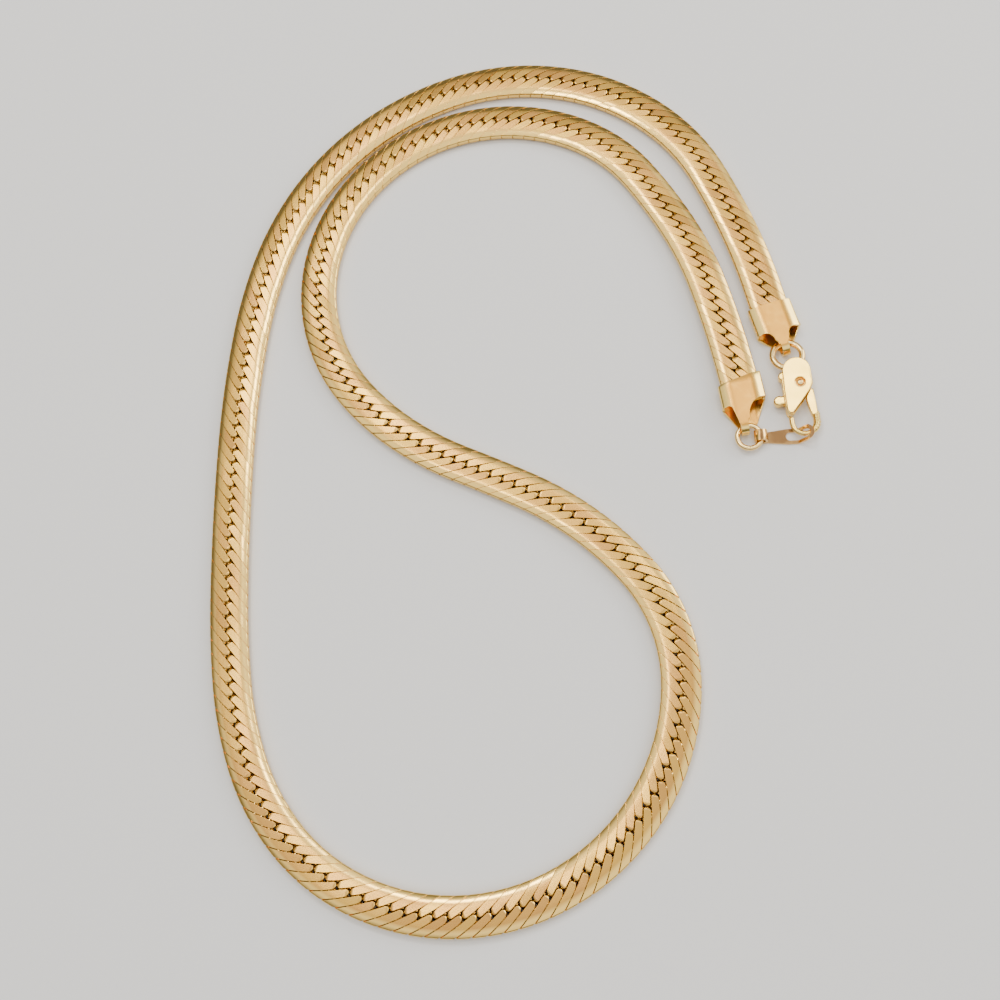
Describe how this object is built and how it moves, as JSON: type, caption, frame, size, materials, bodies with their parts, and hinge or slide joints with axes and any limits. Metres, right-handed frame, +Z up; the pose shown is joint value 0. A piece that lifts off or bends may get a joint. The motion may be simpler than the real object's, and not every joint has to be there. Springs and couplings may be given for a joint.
{
  "type": "herringbone neck chain",
  "caption": "Flat flexible herringbone neck chain of slanted interlocked links, closed in a loop by folded end caps, jump rings, a lever claw clasp and a slotted end tag.",
  "frame": {"origin": "centre of the lying chain's outline on the surface it rests on", "axes": "+Z up from the surface, +Y along the longer side of the lying loop, towards the fold beyond the clasp, +X towards the clasp's side"},
  "size_m": [0.106, 0.1596, 0.0031],
  "materials": {
    "gold": "satin",
    "pale_gold": "satin"
  },
  "bodies": {
    "necklace": {"chain_a": "gold", "chain_b": "gold", "end_cap_a": "gold", "end_cap_b": "gold", "jump_ring_a": "gold", "jump_ring_b": "gold", "claw_body": "pale_gold", "claw_rivet": "gold", "end_tag": "gold"},
    "lever": {"claw_lever": "pale_gold"}
  },
  "joints": [
    {"name": "lever_hinge", "type": "hinge", "parent": "necklace", "child": "lever", "pos_m": [0.04996, 0.01098, 0.00145], "axis": [0, 0, 1], "range_deg": [0, 20], "stiffness_Nm_per_rad": 0.002, "springref_deg": -11.46}
  ]
}
